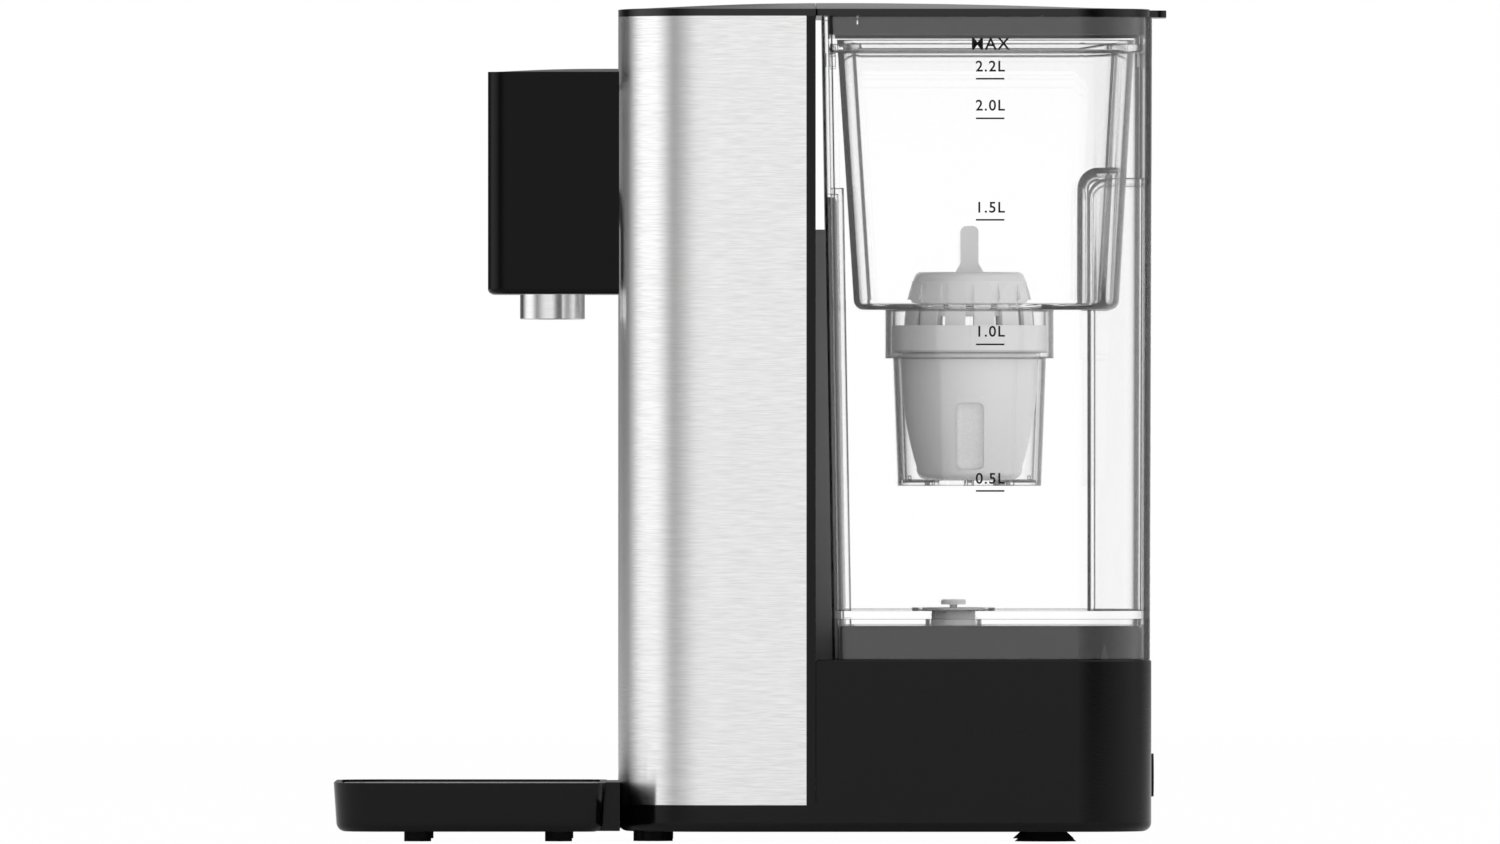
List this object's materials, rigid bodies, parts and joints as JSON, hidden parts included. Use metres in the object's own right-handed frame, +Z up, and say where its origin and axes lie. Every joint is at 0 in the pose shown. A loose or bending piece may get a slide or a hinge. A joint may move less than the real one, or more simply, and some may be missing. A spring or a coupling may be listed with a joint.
{
  "type": "countertop water dispenser",
  "caption": "Countertop hot water dispenser with a clear lift-off tank, a drip-through filter funnel and cartridge, an outlet head and a pull-out drip tray.",
  "frame": {"origin": "middle of the whole footprint, on the floor under the feet", "axes": "+Z up; -Y is the side with the outlet and the drip tray, +Y the side with the tank; X is the width, symmetric about X = 0"},
  "size_m": [0.14, 0.3078, 0.31],
  "materials": {
    "black_plastic": "satin black moulded plastic",
    "dark_plastic": "dark grey moulded plastic, fine grain",
    "panel_black": "polished black touch panel",
    "brushed_steel": "stainless steel brushed along its width",
    "grille_steel": "pressed stainless steel, finely brushed",
    "screw_steel": "plated screws",
    "clear_plastic": "clear moulded copolyester",
    "smoky_clear_plastic": "clear plastic with a faint grey cast",
    "valve_plastic": "natural white moulded plastic",
    "white_plastic": "white moulded polypropylene",
    "white_rubber": "pale silicone rubber",
    "rubber": "black rubber",
    "circuit_board": "glass fibre board with its parts",
    "media": "granular filter bed in a fine mesh"
  },
  "bodies": {
    "chassis": {"front_feet": "rubber", "rear_feet": "rubber", "base_housing": "black_plastic", "base_plate": "dark_plastic", "plate_screws": "screw_steel", "mains_inlet": "rubber", "steel_panel": "brushed_steel", "column_frame": "black_plastic", "column_cap": "black_plastic", "rear_spine": "dark_plastic", "head_shell": "black_plastic", "head_lid": "black_plastic", "touch_panel": "panel_black", "nozzle_sleeve": "brushed_steel", "nozzle_insert": "dark_plastic", "tank_seat": "dark_plastic", "pump_housing": "dark_plastic", "pump_motor": "screw_steel", "pump_cradle": "rubber", "heater_tube": "brushed_steel", "heater_caps": "dark_plastic", "heater_clamps": "screw_steel", "steam_separator": "white_plastic", "inlet_tube": "white_rubber", "feed_tube": "white_rubber", "riser_tube": "white_rubber", "outlet_tube": "white_rubber", "power_board": "circuit_board", "touch_board": "circuit_board", "level_board": "circuit_board"},
    "tank": {"tank_vessel": "clear_plastic", "valve_body": "valve_plastic", "valve_seal": "rubber"},
    "tank_valve": {"valve_poppet": "valve_plastic"},
    "funnel": {"funnel": "smoky_clear_plastic"},
    "cartridge": {"cartridge_body": "white_plastic", "cartridge_cap": "white_plastic", "filter_media": "media", "cartridge_seal": "white_rubber"},
    "lid": {"tank_lid": "black_plastic"},
    "drip_tray": {"drip_tray": "black_plastic", "tray_feet": "rubber"},
    "grille": {"drip_grille": "grille_steel"},
    "pump_rotor": {"pump_rotor": "white_plastic"}
  },
  "joints": [
    {"name": "tank_lift", "type": "slide", "parent": "chassis", "child": "tank", "axis": [0, 0, 1], "range_m": [0, 0.18]},
    {"name": "valve_slide", "type": "slide", "parent": "tank", "child": "tank_valve", "axis": [0, 0, 1], "range_m": [-0.0011, 0]},
    {"name": "funnel_lift", "type": "slide", "parent": "tank", "child": "funnel", "axis": [0, 0, 1], "range_m": [0, 0.175]},
    {"name": "lid_lift", "type": "slide", "parent": "funnel", "child": "lid", "axis": [0, 0, 1], "range_m": [0, 0.06]},
    {"name": "cartridge_lift", "type": "slide", "parent": "funnel", "child": "cartridge", "axis": [0, 0, 1], "range_m": [0, 0.068]},
    {"name": "tray_slide", "type": "slide", "parent": "chassis", "child": "drip_tray", "axis": [0, -1, 0], "range_m": [0, 0.08]},
    {"name": "pump_spin", "type": "hinge", "parent": "chassis", "child": "pump_rotor", "pos_m": [0.024, 0.0752, 0.0251], "axis": [1, 0, 0], "continuous": true},
    {"name": "grille_lift", "type": "slide", "parent": "drip_tray", "child": "grille", "axis": [0, 0, 1], "range_m": [0, 0.05]}
  ],
  "couplings": [
    {"joint": "valve_slide", "follows": "tank_lift", "ratio": -0.006}
  ]
}
